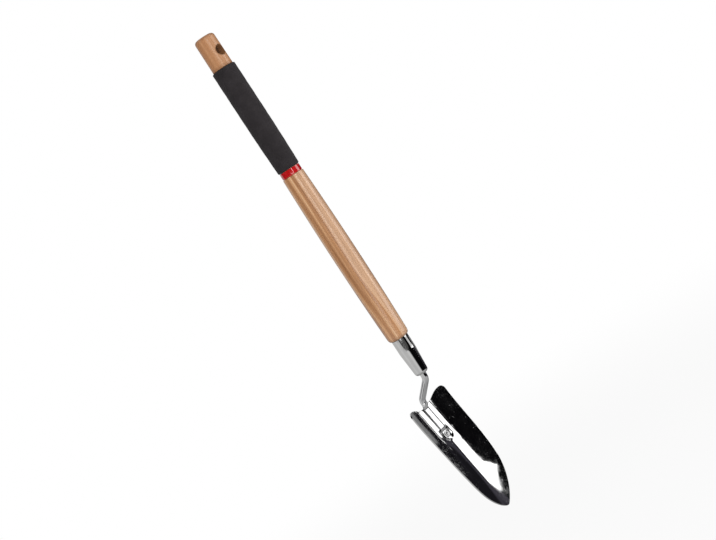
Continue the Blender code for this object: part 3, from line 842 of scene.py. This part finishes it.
def forgeEnd(rod, v):
    # the round rod becomes a flat bar that thins towards a round pad, its back always on the seat
    down, front = seatDirections(v)
    corner = rodCorner(v)
    thickness = 2 * v["radius"]
    for vert in rod.data.vertices:
        offset = vert.co - corner
        along = offset.dot(down)
        if vert.co.z > corner.z or along < v["flatStart"]:
            continue
        flat = ease(along, v["flatStart"], v["flatFull"] - v["flatStart"])
        thin = clamp((along - v["flatFull"]) / (v["stepStart"] - v["flatFull"]))
        bar = v["barTop"] + (v["barEnd"] - v["barTop"]) * thin
        thick = thickness + (bar - thickness) * flat
        step = ease(along, v["stepStart"], v["step"])
        thick += (v["padThick"] - thick) * step
        half = math.sqrt(max(1e-8, v["padRadius"] ** 2 - (along - v["rivet"]) ** 2))
        if along < v["rivet"]:
            half = max(half, v["radius"] + (v["barHalf"] - v["radius"]) * flat)
        power = 1 / (1 + v["barSquare"] * flat)               # makes the round section squarer
        across, lift = offset.x / v["radius"], offset.dot(front) / v["radius"]
        across = math.copysign(abs(across) ** power, across)
        lift = math.copysign(abs(lift) ** power, lift)
        back = v["radius"] + v["stepDepth"] * step
        place = corner + down * along + front * (-back + thick / 2 + lift * thick / 2)
        vert.co = place + Vector((across * half, 0, 0))


rod = makeRod(rodValues)
forgeEnd(rod, rodValues)


# Blade: a flat blank, pressed with a seat for the rod and a trough below it. It leans as the
# rod's end does, and places down it are measured from its shoulders, the top of its outline.

bladeValues = {"length": 0.1497, "halfWidth": 0.0371, "sheet": 0.0015, "rodGap": 0.0003,
               "edgeDrop": 0.0079, "shoulderRise": 0.0069, "shoulderFlat": 0.0050,
               "shoulderReach": 0.0290, "cornerRound": 0.0058, "straightSide": 0.0280,
               "sideTaper": 0.026, "sideFullness": 4.8, "tipBluntness": 1.25, "tipCut": 0.0002,
               "seatHead": 0.0009, "seatHalfWidth": 0.0131, "wallRise": 0.0010,
               "wallReach": 0.0012, "wingSlope": 0.352, "wingBow": 0.5, "seatEnd": 0.0385,
               "seatFade": 0.0240, "headFade": 0.0600, "headStart": 0.0040, "headWidth": 0.0120,
               "dishDepth": 0.0018, "dishRadius": 0.0058, "dishWall": 0.0035,
               "troughRound": 0.0128, "troughSlope": 0.41,
               "curlRise": 0.0011, "curlLength": 0.0263, "curlPower": 1.5,
               "tipFlatten": 0.35, "tipFlattenStart": 0.0950, "inner": 0.0165, "innerShare": 0.6,
               "columns": 160, "rows": 210, "cornerRows": 14, "sideRows": 90,
               "edgeBevel": 0.00035, "bevelSteps": 3, "markStretch": (1, 1, 0.15)}

# Rivet, which the blade's dish needs too: its drop is measured from the middle of the blade's edge

rivetValues = {"drop": 0.0384, "shank": 0.0023, "hole": 0.0026, "gap": 0.0003, "head": 0.0040,
               "headHeight": 0.0006, "headFoot": 0.0001, "crest": 0.0027, "crestAngle": 84,
               "dimple": 0.0005, "dimpleWall": 0.15, "tail": 0.0039, "tailHeight": 0.0013,
               "tailFlat": 0.45, "dimpleSteps": 8, "capSteps": 10, "sides": 72,
               "markStretch": (1, 1, 1), "gloss": (0.28, 0.33), "wear": 0.4}


def halfWidthAt(v, down):
    width = v["halfWidth"] - v["sideTaper"] * down
    if down < v["cornerRound"]:
        lift = v["cornerRound"] - down
        return width - v["cornerRound"] + math.sqrt(v["cornerRound"] ** 2 - lift ** 2)
    share = clamp((down - v["straightSide"]) / (v["length"] - v["straightSide"]))
    return width * (1 - share ** v["sideFullness"]) ** (1 / v["tipBluntness"])


def pressDepth(v, across, down):
    # upper half: a flat seat for the rod between straight wings
    curl = v["curlRise"] * max(0.0, 1 - down / v["curlLength"]) ** v["curlPower"]
    beside = max(0.0, abs(across) - v["seatHalfWidth"])
    wall = (v["wallRise"] + curl) * (1 - math.exp(-beside / v["wallReach"]))
    upper = v["seatHead"] + wall + v["wingSlope"] * beside + v["wingBow"] * beside ** 2
    # lower half: a trough, flatter towards the point
    tip = v["tipFlattenStart"]
    flatten = 1 - v["tipFlatten"] * ease(down, tip, v["length"] - tip)
    trough = v["troughSlope"] * (math.hypot(across, v["troughRound"]) - v["troughRound"])
    middle = 1 - ease(abs(across), v["headStart"], v["headWidth"])
    lower = flatten * trough
    lower += v["seatHead"] * middle * (1 - ease(down, v["seatEnd"], v["headFade"]))
    # a dish for the rivet, round below it and straight across above
    rivetLevel = v["shoulderRise"] + rivetValues["drop"]
    dish = 1 - ease(math.hypot(across, max(0.0, down - rivetLevel)), v["dishRadius"], v["dishWall"])
    dish *= ease(down, rivetLevel - v["dishRadius"] - v["dishWall"], v["dishWall"])
    return upper + (lower - upper) * ease(down, v["seatEnd"], v["seatFade"]) - v["dishDepth"] * dish


def seatEdge(v):
    # the middle of the blade's upper edge, behind the rod
    down, front = seatDirections(rodValues)
    return rodCorner(rodValues) - front * (rodValues["radius"] + v["rodGap"]) + down * v["edgeDrop"]


def bladeLevels(v):
    # how far down each row of the grid lies, closer at the corners and towards the point
    corners, sides = v["cornerRows"], v["sideRows"]
    tips = v["rows"] - corners - sides
    bend, end = v["cornerRound"], 2 * v["straightSide"]
    reach = v["length"] - v["tipCut"] - end
    levels = [bend * (1 - math.cos(math.pi / 2 * i / corners)) for i in range(corners)]
    levels += [bend + (end - bend) * i / sides for i in range(sides)]
    return levels + [end + reach * math.sin(math.pi / 2 * i / tips) for i in range(tips + 1)]


def makeBlade(v):
    down, front = seatDirections(rodValues)
    origin = seatEdge(v) - down * v["shoulderRise"] - front * v["seatHead"]
    levels = bladeLevels(v)
    clearSelection()
    bpy.ops.mesh.primitive_grid_add(x_subdivisions=v["columns"], y_subdivisions=v["rows"], size=2)
    blade = namePiece("trowelBlade")
    for vert in blade.data.vertices:
        level = levels[round((1 - vert.co.y) / 2 * v["rows"])]
        wide = halfWidthAt(v, level)
        inner = min(v["inner"], v["innerShare"] * wide)       # half the columns cover the seat
        share = 2 * abs(vert.co.x)
        across = inner * share if share < 1 else inner + (wide - inner) * (share - 1)
        across = math.copysign(across, vert.co.x)
        dip = 1 - ease(abs(across), v["shoulderFlat"], v["shoulderReach"] - v["shoulderFlat"])
        along = level + v["shoulderRise"] * dip * (1 - ease(level, 0, v["straightSide"]))
        place = origin + Vector((across, 0, 0)) + down * along
        vert.co = place + front * pressDepth(v, across, along)
    startEdit(blade)
    bpy.ops.mesh.select_all(action="SELECT")
    bpy.ops.mesh.normals_make_consistent(inside=False)
    bpy.ops.object.mode_set(mode="OBJECT")
    # the sheet's thickness goes behind the pressed face, whichever way the normals came out
    facing = sum(face.normal.dot(front) * face.area for face in blade.data.polygons)
    applyModifier(blade, "SOLIDIFY", thickness=v["sheet"], offset=-math.copysign(1, facing),
                  use_even_offset=True)
    applyModifier(blade, "BEVEL", width=v["edgeBevel"], segments=v["bevelSteps"],
                  limit_method="ANGLE", angle_limit=math.radians(50))
    smooth(blade, degrees=50)
    return blade


blade = makeBlade(bladeValues)


# Rivet through the rod's flat end, the seat and the sheet

def makeRivet(v):
    face = bladeValues["rodGap"] + rodValues["padThick"] + v["gap"]
    back = -(bladeValues["sheet"] + v["gap"])
    top, foot, wall = face + v["headHeight"], v["headFoot"], v["dimpleWall"]
    outline = [(0, top - v["dimple"])]
    for i in range(1, v["dimpleSteps"] + 1):                  # the hollow rises to the ring's crest
        share = i / v["dimpleSteps"]
        outline.append((v["crest"] * share, top - v["dimple"] * (1 - ease(share, wall, 1 - wall))))
    outline += arc((v["crest"], face + foot), v["head"] - v["crest"], v["headHeight"] - foot,
                   v["crestAngle"], 0, v["capSteps"])
    outline += [(v["head"] - foot, face), (v["shank"], face), (v["shank"], back),
                (v["tail"] - foot, back)]
    flat = v["tail"] * v["tailFlat"]
    outline += [(radius, -height) for radius, height in
                arc((flat, -back), v["tail"] - flat, v["tailHeight"], 0, 90, v["capSteps"])]
    outline += [(0, back - v["tailHeight"])]
    return turnPiece("bladeRivet", outline, v["sides"])


seatDown, seatFront = seatDirections(rodValues)
seatTilt = math.radians(rodValues["seatTilt"])
rivetPlace = (seatEdge(bladeValues) + seatDown * rivetValues["drop"]
              - seatFront * bladeValues["dishDepth"])
hole, reach = rivetValues["hole"], 0.01
for holed in (rod, blade):
    punch = turnPiece("punch", [(0, reach), (hole, reach), (hole, -reach), (0, -reach)],
                      rivetValues["sides"])
    standOn(punch, rivetPlace, seatTilt)
    cutAway(holed, punch)
rivet = makeRivet(rivetValues)
standOn(rivet, rivetPlace, seatTilt)
smooth(rivet, degrees=40)
smooth(rod, degrees=40)
smooth(blade, degrees=50)
finishPiece(rod, polishedSteel("rodSteel", rodValues), "polished_steel", "neck_rod")
finishPiece(blade, polishedSteel("bladeSteel", bladeValues), "polished_steel", "blade")
finishPiece(rivet, polishedSteel("rivetSteel", rivetValues), "polished_steel", "rivet")


bpy.context.scene.view_settings.view_transform = "Standard"
